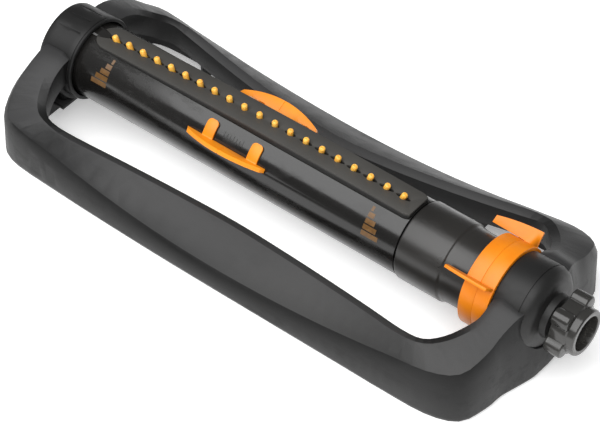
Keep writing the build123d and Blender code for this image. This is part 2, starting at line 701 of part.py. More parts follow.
# ---- motor housing, plates, pins and lever ----
def gear_centres():
    """The output gear's and the reduction gear's centres, as (y, height above the axis)."""
    low = MODULE * (SUN_TEETH + OUTPUT_PINION_TEETH) / 2
    between = MODULE * (OUTPUT_WHEEL_TEETH + REDUCTION_PINION_TEETH) / 2
    out = MODULE * (REDUCTION_WHEEL_TEETH + TURBINE_PINION_TEETH) / 2
    height = (between**2 - out**2 - low**2) / (2 * low)
    return (0.0, -low), (sqrt(out**2 - height**2), height)


OUTPUT_CENTRE, REDUCTION_CENTRE = gear_centres()


def make_motor_housing():
    """The collar and neck that hold the water motor and turn with the tube."""
    outside = [
        (COLLAR_START, 0), (COLLAR_START, COLLAR_RADIUS - 0.5), (COLLAR_START + 0.6, COLLAR_RADIUS),
        (COLLAR_END, COLLAR_RADIUS), (COLLAR_END + 1.2, COLLAR_RADIUS - 1.1), (NECK_START, NECK_RADIUS + 0.3),
        (NECK_START + 1, NECK_RADIUS), (NECK_END - 0.5, NECK_RADIUS), (NECK_END, NECK_RADIUS - 0.5),
        (NECK_END, 0),
    ]
    inside = [
        (COLLAR_START - 1, 0), (COLLAR_START - 1, MOTOR_BORE), (COLLAR_END - 1, MOTOR_BORE),
        (NECK_START - 1, NECK_BORE), (MOTOR_WALL_START, NECK_BORE), (MOTOR_WALL_START, 0),
    ]
    housing = turned(outside) - turned(inside)
    housing = housing - cylinder_x(STEM_RADIUS + RUNNING_CLEARANCE, 130, 150)
    pivot_z = AXIS_HEIGHT + LEVER_PIVOT
    housing = housing - cylinder_x(LEVER_SHAFT_RADIUS + RUNNING_CLEARANCE, 130, 150, 0, pivot_z)
    return housing


def make_motor_plate():
    """The plate that closes the motor towards the tube, with its spigot and the outlet port."""
    disc = cylinder_x(MOTOR_BORE - 0.05, PLATE_START, PLATE_END)
    spigot = ring_x(TUBE_BORE - 0.05, TUBE_BORE - 2.3, PLATE_START - 10, PLATE_START + 1)
    deck_room = box(PLATE_START - 11, KEEL_RIGHT + 3.5, -12, 12, AXIS_HEIGHT + 15, AXIS_HEIGHT + 30)
    spigot = spigot - deck_room
    inner = CHANNEL_HALF_WIDTH - CHANNEL_WALL
    port = box(PLATE_START - 1, PLATE_END + 1, -inner, inner, AXIS_HEIGHT + CHANNEL_BOTTOM + CHANNEL_WALL,
               AXIS_HEIGHT + CHANNEL_TOP - CHANNEL_WALL)
    pin_hole = cylinder_x(GEAR_PIN_RADIUS, PLATE_START - 1, PLATE_END + 1)
    return disc + spigot - port - pin_hole


def make_gear_plate():
    """The plate between the turbine and the gears, with two jet ports and holes for the pins."""
    plate = cylinder_x(MOTOR_BORE - 0.05, GEAR_PLATE_START, GEAR_PLATE_END)
    plate = plate - cylinder_x(TURBINE_HUB_RADIUS + 0.1, 100, 110)
    for y, height in (OUTPUT_CENTRE, REDUCTION_CENTRE):
        plate = plate - cylinder_x(GEAR_PIN_RADIUS, 100, 110, y, AXIS_HEIGHT + height)
    for side in (-1, 1):
        plate = plate - cylinder_x(PORT_RADIUS, 100, 110, side * PORT_SIDE, AXIS_HEIGHT + PORT_HEIGHT)
    pivot_z = AXIS_HEIGHT + LEVER_PIVOT
    return plate - cylinder_x(LEVER_SHAFT_RADIUS + RUNNING_CLEARANCE, 100, 110, 0, pivot_z)


def make_gear_pins():
    """The three fixed steel pins that the turbine and the two gears turn on."""
    turbine_pin = cylinder_x(GEAR_PIN_RADIUS, PLATE_START + 0.2, TURBINE_PINION_X[1] + 0.4)
    pins = [turbine_pin]
    for (y, height), end in ((OUTPUT_CENTRE, MOTOR_WALL_START), (REDUCTION_CENTRE, REDUCTION_PINION_END + 1)):
        pins.append(cylinder_x(GEAR_PIN_RADIUS, GEAR_PLATE_START + 0.1, end, y, AXIS_HEIGHT + height))
    return Compound(children=pins)


def lever_at_rest(shape):
    """Tilt a part of the reversing lever to the front stop, about the lever's shaft."""
    pivot = Axis((0, 0, AXIS_HEIGHT + LEVER_PIVOT), (1, 0, 0))
    return shape.rotate(pivot, LEVER_TILT)


def make_reversing_lever():
    """The lever that the trip lugs push over at each end of the sweep."""
    pivot_z = AXIS_HEIGHT + LEVER_PIVOT
    hub = cylinder_x(3.0, LEVER_START, LEVER_END, 0, pivot_z)
    half = LEVER_WIDTH / 2
    arm = box(LEVER_START, LEVER_END, -half, half, pivot_z, AXIS_HEIGHT + LEVER_TIP)
    lever = hub + arm - cylinder_x(LEVER_SHAFT_RADIUS, 130, 150, 0, pivot_z)
    return lever_at_rest(lever)


def make_lever_shaft():
    """The steel shaft from the lever through the housing to the diverter."""
    return cylinder_x(LEVER_SHAFT_RADIUS, GEAR_PLATE_START + 0.4, LEVER_END, 0, AXIS_HEIGHT + LEVER_PIVOT)


def make_jet_diverter():
    """The paddle that covers one jet port at a time."""
    pivot_z = AXIS_HEIGHT + LEVER_PIVOT
    hub = cylinder_x(2.6, GEAR_PLATE_END + 0.3, 111, 0, pivot_z)
    paddle = box(GEAR_PLATE_END + 0.3, 109.3, -2.0, 2.0, pivot_z, AXIS_HEIGHT + PORT_HEIGHT + 3)
    diverter = hub + paddle - cylinder_x(LEVER_SHAFT_RADIUS, 100, 130, 0, pivot_z)
    return lever_at_rest(diverter)


def make_toggle_spring():
    """The C-shaped wire spring beside the lever."""
    loop = Pos(143.6, 8.4, AXIS_HEIGHT + LEVER_PIVOT) * Rot(0, 90, 0) * Torus(3.4, 0.4)
    gap = box(140, 147, 2, 8.4, AXIS_HEIGHT + LEVER_PIVOT - 0.9, AXIS_HEIGHT + LEVER_PIVOT + 0.9)
    return loop - gap


# ---- gears and turbine ----
def involute(angle):
    """The involute function of a pressure angle in radians."""
    return tan(angle) - angle


def make_gear(teeth, start, end, centre, phase):
    """A spur gear along X. Phase is the angle in the Y-Z plane of one tooth's middle, from +Y."""
    pitch = MODULE * teeth / 2
    base = pitch * cos(radians(PRESSURE_ANGLE))
    tip = pitch + ADDENDUM * MODULE
    root = pitch - DEDENDUM * MODULE
    half_pitch = pi / (2 * teeth) - BACKLASH / (4 * pitch)
    half_base = half_pitch + involute(radians(PRESSURE_ANGLE))
    flank = [(root, half_base)]
    start_radius = max(base, root + 0.01)
    for share in (0.0, 0.35, 0.7, 1.0):
        radius = start_radius + share * (tip - start_radius)
        local = sqrt(max(1 - (base / radius) ** 2, 0.0))
        flank.append((radius, half_base - involute(atan2(local, base / radius))))
    points = []
    for index in range(teeth):
        middle = radians(phase) + 2 * pi * index / teeth
        rising = [(radius, middle - half) for radius, half in flank]
        falling = [(radius, middle + half) for radius, half in reversed(flank)]
        for radius, angle in rising + falling:
            y = centre[0] + radius * cos(angle)
            z = AXIS_HEIGHT + centre[1] + radius * sin(angle)
            points.append((start, y, z))
    return extrude(make_face(Polyline(*points, close=True)), end - start, dir=(1, 0, 0))


def mesh_phases(from_centre, to_centre, to_teeth):
    """Phases that put a tooth of the first gear into a gap of the second."""
    direction = degrees(atan2(to_centre[1] - from_centre[1], to_centre[0] - from_centre[0]))
    return direction, direction + 180.0 + 180.0 / to_teeth


SUN_CENTRE = (0.0, 0.0)
SUN_PHASE, OUTPUT_PINION_PHASE = mesh_phases(SUN_CENTRE, OUTPUT_CENTRE, OUTPUT_PINION_TEETH)
OUTPUT_WHEEL_PHASE, REDUCTION_PINION_PHASE = mesh_phases(
    OUTPUT_CENTRE, REDUCTION_CENTRE, REDUCTION_PINION_TEETH
)
REDUCTION_WHEEL_PHASE, TURBINE_PINION_PHASE = mesh_phases(
    REDUCTION_CENTRE, SUN_CENTRE, TURBINE_PINION_TEETH
)


def pin_bore(centre):
    """The running hole of a gear on its pin."""
    return cylinder_x(GEAR_PIN_RADIUS + RUNNING_CLEARANCE, 80, 160, centre[0], AXIS_HEIGHT + centre[1])


def make_sun_gear():
    """The fixed gear pressed on the stem's nose, which the output gear climbs round."""
    gear = make_gear(SUN_TEETH, *SUN_X, SUN_CENTRE, SUN_PHASE)
    return gear - cylinder_x(STEM_NOSE_RADIUS, 120, 140)


def make_output_gear():
    """The compound gear that rolls on the sun gear."""
    wheel = make_gear(OUTPUT_WHEEL_TEETH, *OUTPUT_WHEEL_X, OUTPUT_CENTRE, OUTPUT_WHEEL_PHASE)
    pinion = make_gear(
        OUTPUT_PINION_TEETH, OUTPUT_WHEEL_X[1] - 0.5, OUTPUT_PINION_END, OUTPUT_CENTRE, OUTPUT_PINION_PHASE
    )
    return wheel + pinion - pin_bore(OUTPUT_CENTRE)


def make_reduction_gear():
    """The compound gear between the turbine and the output gear."""
    wheel = make_gear(REDUCTION_WHEEL_TEETH, *REDUCTION_WHEEL_X, REDUCTION_CENTRE, REDUCTION_WHEEL_PHASE)
    pinion = make_gear(
        REDUCTION_PINION_TEETH, REDUCTION_WHEEL_X[1] - 0.5, REDUCTION_PINION_END, REDUCTION_CENTRE,
        REDUCTION_PINION_PHASE,
    )
    return wheel + pinion - pin_bore(REDUCTION_CENTRE)


def make_turbine_rotor():
    """The bladed rotor with its hub and pinion."""
    start, end = TURBINE_X
    disc = cylinder_x(TURBINE_RADIUS, end - 1.2, end)
    hub = cylinder_x(TURBINE_HUB_RADIUS, start, TURBINE_PINION_X[0] + 0.3)
    rotor = disc + hub
    for index in range(TURBINE_BLADES):
        blade = arm_box(start, end - 0.5, TURBINE_HUB_RADIUS - 0.6, TURBINE_RADIUS, 1.0, 0)
        blade = blade.rotate(Axis((0, 0, AXIS_HEIGHT + TURBINE_HUB_RADIUS), (1, 0, 0)), 18)
        rotor = rotor + about_axis(blade, 360 * index / TURBINE_BLADES)
    rotor = rotor & cylinder_x(TURBINE_RADIUS, start - 1, TURBINE_PINION_X[0] + 1)
    pinion = make_gear(TURBINE_PINION_TEETH, *TURBINE_PINION_X, SUN_CENTRE, TURBINE_PINION_PHASE)
    return rotor + pinion - pin_bore(SUN_CENTRE)


# ---- inlet: stem, seal, clip and hose coupling ----
def make_inlet_stem():
    """The fixed hollow stem from the coupling to the motor, with a flange and two grooves."""
    outside = [
        (STEM_NOSE_START, 0), (STEM_NOSE_START, STEM_NOSE_RADIUS), (STEM_NOSE_END, STEM_NOSE_RADIUS),
        (STEM_NOSE_END, STEM_RADIUS), (SEAL_GROOVE[0], STEM_RADIUS), (SEAL_GROOVE[0], SEAL_FLOOR),
        (SEAL_GROOVE[1], SEAL_FLOOR), (SEAL_GROOVE[1], STEM_RADIUS), (CLIP_X[0], STEM_RADIUS),
        (CLIP_X[0], CLIP_INNER), (CLIP_X[1], CLIP_INNER), (CLIP_X[1], STEM_RADIUS),
        (STEM_FLANGE_START, STEM_RADIUS), (STEM_FLANGE_START, STEM_FLANGE_RADIUS),
        (STEM_FLANGE_END, STEM_FLANGE_RADIUS), (STEM_FLANGE_END, 0),
    ]
    bore = cylinder_x(STEM_BORE, 136, STEM_FLANGE_END + 1)
    nose_bore = cylinder_x(STEM_NOSE_BORE, STEM_NOSE_START - 1, 137)
    return turned(outside) - bore - nose_bore




def make_stem_seal():
    """The O-ring in the stem's groove, inside the housing's bore."""
    return Pos(sum(SEAL_GROOVE) / 2, 0, AXIS_HEIGHT) * Rot(0, 90, 0) * Torus(8.2, 0.78)


def make_coupling_clip():
    """The split spring clip that stops the coupling from sliding down the stem."""
    clip = ring_x(11.0, CLIP_INNER, CLIP_X[0] + 0.1, CLIP_X[1] - 0.1)
    return clip - box(190, 200, -2.5, 2.5, AXIS_HEIGHT - 15, AXIS_HEIGHT)


def make_hose_coupling():
    """The swivel that a hose screws into, with finger lobes and a plain round face ring."""
    body = turned([
        (COUPLING_START, 0), (COUPLING_START, 14.5), (COUPLING_START + 1.2, 16.0),
        (COUPLING_START + 1.8, COUPLING_ROOT_RADIUS), (COUPLING_LOBE_END - 0.8, COUPLING_ROOT_RADIUS),
        (COUPLING_LOBE_END, COUPLING_FACE_RADIUS), (HALF_LENGTH - 0.8, COUPLING_FACE_RADIUS),
        (HALF_LENGTH, COUPLING_FACE_RADIUS - 0.8), (HALF_LENGTH, 0),
    ])
    for index in range(COUPLING_LOBES):
        angle = radians(360 * index / COUPLING_LOBES + LOBE_TURN)
        reach = COUPLING_LOBE_REACH - LOBE_RADIUS
        y = reach * sin(angle)
        z = AXIS_HEIGHT + reach * cos(angle)
        lobe = cylinder_x(LOBE_RADIUS, COUPLING_START + 1.2, COUPLING_LOBE_END, y, z)
        body = body + chamfer(lobe.edges(), 0.8)
    body = body - cylinder_x(THREAD_RADIUS, STEM_FLANGE_START, HALF_LENGTH + 1)
    body = body - cylinder_x(POCKET_RADIUS, STEM_FLANGE_START - 0.1, WASHER_END)
    return body - cylinder_x(STEM_RADIUS + RUNNING_CLEARANCE, COUPLING_START - 1, HALF_LENGTH)




def make_coupling_washer():
    """The flat rubber washer at the bottom of the thread."""
    return ring_x(POCKET_RADIUS - 0.05, WASHER_BORE, WASHER_START, WASHER_END)


def make_inlet_filter():
    """The dished strainer in the middle of the washer, with a ring of fine holes."""
    strainer = turned([
        (WASHER_START + 0.1, 0), (WASHER_START + 0.1, WASHER_BORE - 0.1),
        (WASHER_END - 0.9, WASHER_BORE - 0.1), (WASHER_END - 0.8, WASHER_BORE - 1.4),
        (WASHER_END - 0.3, WASHER_BORE - 3.6), (WASHER_END - 0.1, 0),
    ])
    hollow = turned([
        (WASHER_START, 0), (WASHER_START, WASHER_BORE - 2), (WASHER_END - 1.5, WASHER_BORE - 2.2),
        (WASHER_END - 0.9, 0),
    ])
    strainer = strainer - hollow
    for count, radius in ((1, 0.0), (6, 1.9), (12, 3.8)):
        for index in range(count):
            angle = 2 * pi * index / count
            y = radius * sin(angle)
            z = AXIS_HEIGHT + radius * cos(angle)
            strainer = strainer - cylinder_x(0.45, 200, 215, y, z)
    return strainer


def main():
    """Make every sub-part and write it."""
    os.makedirs("parts", exist_ok=True)
    nodes = {
        "base_frame": make_base_frame(),
        "left_hub_cover": make_left_hub_cover(),
        "right_hub_cover": make_right_hub_cover(),
        "hub_screws": make_hub_screws(),
        "end_bearing": make_end_bearing(),
        "inlet_stem": make_inlet_stem(),
        "stem_seal": make_stem_seal(),
        "coupling_clip": make_coupling_clip(),
        "sun_gear": make_sun_gear(),
        "spray_tube": make_spray_tube(),
        "nozzle_deck": make_nozzle_deck(),
        "nozzles": make_nozzles(),
        "water_channel": make_water_channel(),
        "tube_end_plug": make_end_plug(),
        "plug_seal": make_plug_seal(),
        "motor_housing": make_motor_housing(),
        "motor_plate": make_motor_plate(),
        "gear_plate": make_gear_plate(),
        "gear_pins": make_gear_pins(),
        "toggle_spring": make_toggle_spring(),
        "reversing_lever": make_reversing_lever(),
        "lever_shaft": make_lever_shaft(),
        "jet_diverter": make_jet_diverter(),
        "turbine_rotor": make_turbine_rotor(),
        "reduction_gear": make_reduction_gear(),
        "output_gear": make_output_gear(),
        "front_width_slider": make_width_slider(FRONT_SLIDER_X),
        "front_shutter": make_shutter(FRONT_SLIDER_X),
        "rear_width_slider": mirrored(make_width_slider(REAR_SLIDER_X)),
        "rear_shutter": mirrored(make_shutter(REAR_SLIDER_X)),
        "front_range_ring": make_front_range_ring(),
        "rear_range_ring": make_rear_range_ring(),
        "hose_coupling": make_hose_coupling(),
        "coupling_washer": make_coupling_washer(),
        "inlet_filter": make_inlet_filter(),
    }
    for name, shape in nodes.items():
        save(shape, name)


main()
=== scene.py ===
import json
from math import cos, radians, sin

import bmesh
import bpy
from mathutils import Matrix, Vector


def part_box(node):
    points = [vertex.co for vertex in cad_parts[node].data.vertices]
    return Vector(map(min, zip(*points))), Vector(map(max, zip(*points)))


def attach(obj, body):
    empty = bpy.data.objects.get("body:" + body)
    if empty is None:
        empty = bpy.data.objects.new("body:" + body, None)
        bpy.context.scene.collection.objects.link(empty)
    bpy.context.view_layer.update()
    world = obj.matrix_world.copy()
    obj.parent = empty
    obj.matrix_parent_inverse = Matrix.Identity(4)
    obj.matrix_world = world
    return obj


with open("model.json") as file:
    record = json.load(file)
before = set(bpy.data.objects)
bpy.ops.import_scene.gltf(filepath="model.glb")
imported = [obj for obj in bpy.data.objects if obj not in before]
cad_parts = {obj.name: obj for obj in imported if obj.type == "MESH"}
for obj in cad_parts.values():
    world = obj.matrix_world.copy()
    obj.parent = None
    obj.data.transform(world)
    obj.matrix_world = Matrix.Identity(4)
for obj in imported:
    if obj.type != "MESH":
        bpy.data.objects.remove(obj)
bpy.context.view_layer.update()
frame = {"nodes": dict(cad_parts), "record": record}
NODES = frame["nodes"]

# ---- places read from the frame, in metres ----
TUBE_LOW, TUBE_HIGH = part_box("spray_tube")
AXIS_Z = (TUBE_LOW.z + TUBE_HIGH.z) / 2
TUBE_RADIUS = (TUBE_HIGH.z - TUBE_LOW.z) / 2
SLIDER_LOW, SLIDER_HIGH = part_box("front_width_slider")
SLIDER_X = (SLIDER_LOW.x + SLIDER_HIGH.x) / 2
DECK_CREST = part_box("nozzle_deck")[1].z
DECK_ARCH_DROP = 0.0033
DECK_ARCH_RUN = 0.171

# ---- camera, lights and floor ----
CAMERA_AZIMUTH = 38.76
CAMERA_ELEVATION = 45.46
CAMERA_DISTANCE = 1.75
CAMERA_LENS = 161.6
CAMERA_TARGET = Vector((0.0135, -0.0304, 0.0473))
SENSOR_WIDTH = 36.0
WORLD_STRENGTH = 0.20
LIGHT_AZIMUTH = 0
LIGHT_ELEVATION = 62
LIGHT_DISTANCE = 1.6
LIGHT_WIDTH = 3.0
LIGHT_HEIGHT = 1.7
LIGHT_POWER = 54.0
FLOOR_SIZE = 8.0
FLOOR_DROP = 0.0002
FLOOR_SHADE = 0.98
FLOOR_GLOW = 0.35

# ---- printed marks ----
MARK_LIFT = 0.00006
SPRAY_MARK_PLACES = ((TUBE_LOW.x + 0.0312, 0.005), (TUBE_HIGH.x - 0.0205, -0.005))
SPRAY_MARK_STRIPES = 5
SPRAY_MARK_LOW_ANGLE = 73.0
SPRAY_MARK_HIGH_ANGLE = 27.0
SPRAY_MARK_HALF_WIDTH = 0.0066
SPRAY_MARK_TIP_WIDTH = 0.0010
SPRAY_MARK_FILL = 0.80
SCALE_X = SLIDER_X + 0.0026
SCALE_TICKS = 7
SCALE_TICK_PITCH = 0.0026
SCALE_TICK_WIDTH = 0.0006
SCALE_ANGLE = 44.0
SCALE_LONG_REACH = 5.0
SCALE_SHORT_REACH = 3.0


def direction(azimuth, elevation):
    """The unit vector towards an azimuth and elevation, in the camera's convention."""
    a, e = radians(azimuth), radians(elevation)
    return Vector((sin(a) * cos(e), -cos(a) * cos(e), sin(e)))


def make_camera():
    """The camera, high on the front right, with a long lens."""
    data = bpy.data.cameras.new("camera")
    data.lens = CAMERA_LENS
    data.sensor_width = SENSOR_WIDTH
    data.clip_start = 0.05
    data.clip_end = 50.0
    camera = bpy.data.objects.new("camera", data)
    bpy.context.scene.collection.objects.link(camera)
    back = direction(CAMERA_AZIMUTH, CAMERA_ELEVATION)
    camera.location = CAMERA_TARGET + back * CAMERA_DISTANCE
    camera.rotation_mode = "QUATERNION"
    camera.rotation_quaternion = (-back).to_track_quat("-Z", "Y")
    bpy.context.scene.camera = camera


def make_area_light(name, azimuth, elevation, distance, width, height, power):
    """A soft rectangular light that looks at the object."""
    data = bpy.data.lights.new(name, "AREA")
    data.shape = "RECTANGLE"
    data.size = width
    data.size_y = height
    data.energy = power
    light = bpy.data.objects.new(name, data)
    bpy.context.scene.collection.objects.link(light)
    back = direction(azimuth, elevation)
    light.location = Vector((0, 0, AXIS_Z)) + back * distance
    light.rotation_mode = "QUATERNION"
    light.rotation_quaternion = (-back).to_track_quat("-Z", "Y")
    return light


def make_world(strength):
    """An even pale surround."""
    world = bpy.data.worlds.new("surround")
    world.use_nodes = True
    background = world.node_tree.nodes["Background"]
    background.inputs["Color"].default_value = (1.0, 1.0, 1.0, 1.0)
    background.inputs["Strength"].default_value = strength
    bpy.context.scene.world = world


def make_floor():
    """The plain pale floor."""
    mesh = bpy.data.meshes.new("floor")
    half = FLOOR_SIZE / 2
    corners = [(-half, -half, 0), (half, -half, 0), (half, half, 0), (-half, half, 0)]
    mesh.from_pydata(corners, [], [(0, 1, 2, 3)])
    floor = bpy.data.objects.new("floor", mesh)
    bpy.context.scene.collection.objects.link(floor)
    floor.location.z = -FLOOR_DROP
    material = bpy.data.materials.new("floor_paper")
    material.use_nodes = True
    shader = material.node_tree.nodes["Principled BSDF"]
    shader.inputs["Base Color"].default_value = (FLOOR_SHADE, FLOOR_SHADE, FLOOR_SHADE, 1.0)
    shader.inputs["Roughness"].default_value = 0.9
    shader.inputs["Specular IOR Level"].default_value = 0.1
    shader.inputs["Emission Color"].default_value = (1.0, 1.0, 1.0, 1.0)
    shader.inputs["Emission Strength"].default_value = FLOOR_GLOW
    mesh.materials.append(material)


# ---- materials ----
# Painted shade on the frame: faces tipped below these slopes, and faces turned inwards, are darkened in
# the colour.
SKIRT_SLOPES = (0.62, 0.80)
SKIRT_PAINTED_SHADE = 0.92
INNER_WALL_TURNS = (-0.012, 0.004)
INNER_WALL_PAINTED_SHADE = 0.85
# Painted shade on the deck: the depths below the crest over which the nozzle pockets darken.
POCKET_SHADE_DEPTHS = (0.0020, 0.0004)
POCKET_PAINTED_SHADE = 0.85


class Recipe:
    """A material's node tree with short calls for the nodes that the recipes share."""

    def __init__(self, name):
        self.material = bpy.data.materials.new(name)
        self.material.use_nodes = True
        self.tree = self.material.node_tree
        self.shader = self.tree.nodes["Principled BSDF"]
        self.place = self.tree.nodes.new("ShaderNodeTexCoord").outputs["Object"]

    def link(self, source, target):
        self.tree.links.new(source, target)

    def noise(self, scale, detail=3.0, roughness=0.55, place=None):
        """Noise at a scale in features per metre."""
        node = self.tree.nodes.new("ShaderNodeTexNoise")
        node.inputs["Scale"].default_value = scale
        node.inputs["Detail"].default_value = detail
        node.inputs["Roughness"].default_value = roughness
        self.link(place or self.place, node.inputs["Vector"])
        return node.outputs["Fac"]

    def stretched(self, stretch):
        """The place, scaled differently along each axis."""
        node = self.tree.nodes.new("ShaderNodeMapping")
        node.inputs["Scale"].default_value = stretch
        self.link(self.place, node.inputs["Vector"])
        return node.outputs["Vector"]

    def ramp(self, value, low, high, low_out=0.0, high_out=1.0):
        """A value remapped from one range to another, without overshoot."""
        node = self.tree.nodes.new("ShaderNodeMapRange")
        node.inputs["From Min"].default_value = low
        node.inputs["From Max"].default_value = high
        node.inputs["To Min"].default_value = low_out
        node.inputs["To Max"].default_value = high_out
        self.link(value, node.inputs["Value"])
        return node.outputs["Result"]

    def mix(self, factor, first, second):
        """A mix of two colours; each is a colour or a socket."""
        node = self.tree.nodes.new("ShaderNodeMix")
        node.data_type = "RGBA"
        self.link(factor, node.inputs["Factor"])
        for socket, value in ((node.inputs[6], first), (node.inputs[7], second)):
            if isinstance(value, tuple):
                socket.default_value = (*value, 1.0)
            else:
                self.link(value, socket)
        return node.outputs[2]

    def math(self, operation, first, second=None):
        """A maths node on sockets or numbers."""
        node = self.tree.nodes.new("ShaderNodeMath")
        node.operation = operation
        for socket, value in zip(node.inputs, (first, second)):
            if value is None:
                continue
            if isinstance(value, (int, float)):
                socket.default_value = value
            else:
                self.link(value, socket)
        return node.outputs[0]

    def axis_value(self, axis, vector=None):
        """One coordinate of a vector, or of the place in metres."""
        node = self.tree.nodes.new("ShaderNodeSeparateXYZ")
        self.link(vector or self.place, node.inputs[0])
        return node.outputs[axis]

    def facing(self):
        """The direction each face points in, before smoothing."""
        return self.tree.nodes.new("ShaderNodeNewGeometry").outputs["True Normal"]

    def base_colour(self):
        """The socket that colours the shader so far."""
        return self.shader.inputs["Base Color"].links[0].from_socket

    def dot(self, first, second):
        """The dot product of two vectors."""
        node = self.tree.nodes.new("ShaderNodeVectorMath")
        node.operation = "DOT_PRODUCT"
        self.link(first, node.inputs[0])
        self.link(second, node.inputs[1])
        return node.outputs["Value"]

    def bump(self, *layers):
        """Stacked bumps, each (height socket, distance in metres, strength)."""
        normal = None
        for height, distance, strength in layers:
            node = self.tree.nodes.new("ShaderNodeBump")
            node.inputs["Distance"].default_value = distance
            node.inputs["Strength"].default_value = strength
            self.link(height, node.inputs["Height"])
            if normal is not None:
                self.link(normal, node.inputs["Normal"])
            normal = node.outputs["Normal"]
        self.link(normal, self.shader.inputs["Normal"])

    def colour(self, socket):
        self.link(socket, self.shader.inputs["Base Color"])

    def roughness(self, socket):
        self.link(socket, self.shader.inputs["Roughness"])

    def gloss(self, specular, coat=0.0, coat_roughness=0.1):
        """Constant shine, set on the shader itself."""
        self.shader.inputs["Specular IOR Level"].default_value = specular
        self.shader.inputs["Coat Weight"].default_value = coat
        self.shader.inputs["Coat Roughness"].default_value = coat_roughness


def scaled(colour, factor):
    """A colour made lighter or darker."""
    return tuple(min(channel * factor, 1.0) for channel in colour)


def moulded_plastic(name, colour, rough, grain=2600.0, grain_depth=0.00005, specular=0.5, coat=0.0,
                    dust=(0.30, 0.29, 0.27), dust_amount=0.10, scratches=0.35, streaks=(1.0, 1.0, 1.0)):
    """Moulded plastic: spark-eroded grain, cloudy sheen, fine scuffs and a little dust in the mottling."""
    recipe = Recipe(name)
    cloud = recipe.noise(22.0, 4.0, 0.6, recipe.stretched(streaks))
    flow = recipe.noise(7.0, 2.0, 0.5, recipe.stretched(streaks))
    fine = recipe.noise(grain, 2.0, 0.5)
    tone = recipe.mix(recipe.ramp(cloud, 0.3, 0.7), scaled(colour, 0.84), scaled(colour, 1.18))
    speck = recipe.ramp(fine, 0.42, 0.62, 0.0, 0.5)
    tone = recipe.mix(speck, tone, scaled(colour, 0.78))
    dusty = recipe.math("MULTIPLY", recipe.ramp(flow, 0.45, 0.75), dust_amount)
    tone = recipe.mix(dusty, tone, dust)
    recipe.colour(tone)
    scuffs = recipe.noise(90.0, 6.0, 0.75, recipe.stretched((0.35, 1.0, 1.0)))
    scuffed = recipe.ramp(scuffs, 0.52, 0.60, 0.0, scratches * 0.2)
    base = recipe.ramp(cloud, 0.3, 0.7, rough - 0.04, rough + 0.05)
    recipe.roughness(recipe.math("ADD", base, scuffed))
    recipe.bump((fine, grain_depth, 0.55), (scuffs, 0.00004, scratches * 0.3), (flow, 0.0004, 0.10))
    recipe.gloss(specular, coat)
    return recipe


def frame_plastic():
    """The base's charcoal plastic, with painted shade: the colour is darkened on the skirt and steep faces
    and on the inner walls, so it is palest where it faces up.
    """
    recipe = moulded_plastic("frame_plastic", (0.033, 0.033, 0.0335), 0.44, grain=3000.0,
                             grain_depth=0.00006, specular=0.26, dust_amount=0.05, streaks=(0.5, 1.0, 1.0))
    facing = recipe.facing()
    # Painted shade: faces that tip away from straight up are mixed towards near-black.
    skirt = recipe.ramp(recipe.axis_value(2, facing), *SKIRT_SLOPES, SKIRT_PAINTED_SHADE, 0.0)
    # Painted shade: faces turned in towards the middle, the inner walls, are mixed towards near-black.
    inner = recipe.ramp(recipe.dot(facing, recipe.place), *INNER_WALL_TURNS, INNER_WALL_PAINTED_SHADE, 0.0)
    shaded = recipe.mix(skirt, recipe.base_colour(), (0.004, 0.004, 0.004))
    recipe.colour(recipe.mix(inner, shaded, (0.006, 0.006, 0.006)))
    return recipe.material


def hub_plastic():
    """The covers' plastic, a little blacker and smoother than the base."""
    recipe = moulded_plastic("hub_plastic", (0.012, 0.012, 0.012), 0.42, grain=3200.0,
                             grain_depth=0.00005, specular=0.28, dust_amount=0.05)
    return recipe.material


def tube_plastic():
    """The tube's gloss black, with long extrusion lines and hairline scuffs."""
    recipe = moulded_plastic("tube_plastic", (0.009, 0.0085, 0.008), 0.19, grain=1500.0,
                             grain_depth=0.000012, specular=0.55, dust_amount=0.05, scratches=0.5,
                             streaks=(0.15, 1.0, 1.0))
    return recipe.material


def motor_plastic():
    """The motor housing's satin black."""
    recipe = moulded_plastic("motor_plastic", (0.012, 0.011, 0.010), 0.28, grain=1800.0,
                             grain_depth=0.00002, specular=0.55, dust_amount=0.06, scratches=0.4,
                             streaks=(1.0, 0.4, 0.4))
    return recipe.material


def deck_plastic():
    """The deck's matte grey, with painted shade: the colour darkens down in the nozzles' pockets below the
    arched top.
    """
    recipe = moulded_plastic("deck_plastic", (0.052, 0.050, 0.046), 0.55, grain=3400.0,
                             grain_depth=0.00007, specular=0.35, dust_amount=0.08)
    run = recipe.math("DIVIDE", recipe.axis_value(0), DECK_ARCH_RUN)
    sag = recipe.math("MULTIPLY", recipe.math("MULTIPLY", run, run), DECK_ARCH_DROP)
    height = recipe.math("ADD", recipe.axis_value(2), sag)
    # Painted shade: below the arched top the colour darkens towards near-black down in the nozzle pockets.
    deep, shallow = (DECK_CREST - depth for depth in POCKET_SHADE_DEPTHS)
    shade = recipe.ramp(height, deep, shallow, POCKET_PAINTED_SHADE, 0.0)
    recipe.colour(recipe.mix(shade, recipe.base_colour(), (0.006, 0.006, 0.006)))
    return recipe.material


def nozzle_rubber():
    """Amber rubber, a little translucent, with faint flow clouds."""
    recipe = Recipe("nozzle_rubber")
    cloud = recipe.noise(260.0, 3.0, 0.6)
    tone = recipe.mix(recipe.ramp(cloud, 0.3, 0.7), (0.92, 0.42, 0.045), (1.0, 0.56, 0.10))
    recipe.colour(tone)
    recipe.roughness(recipe.ramp(cloud, 0.3, 0.7, 0.30, 0.42))
    recipe.bump((recipe.noise(2400.0), 0.00003, 0.4), (cloud, 0.0001, 0.15))
    recipe.gloss(0.5)
    recipe.shader.inputs["Subsurface Weight"].default_value = 0.25
    recipe.shader.inputs["Subsurface Scale"].default_value = 0.002
    recipe.shader.inputs["Subsurface Radius"].default_value = (1.0, 0.5, 0.15)
    return recipe.material


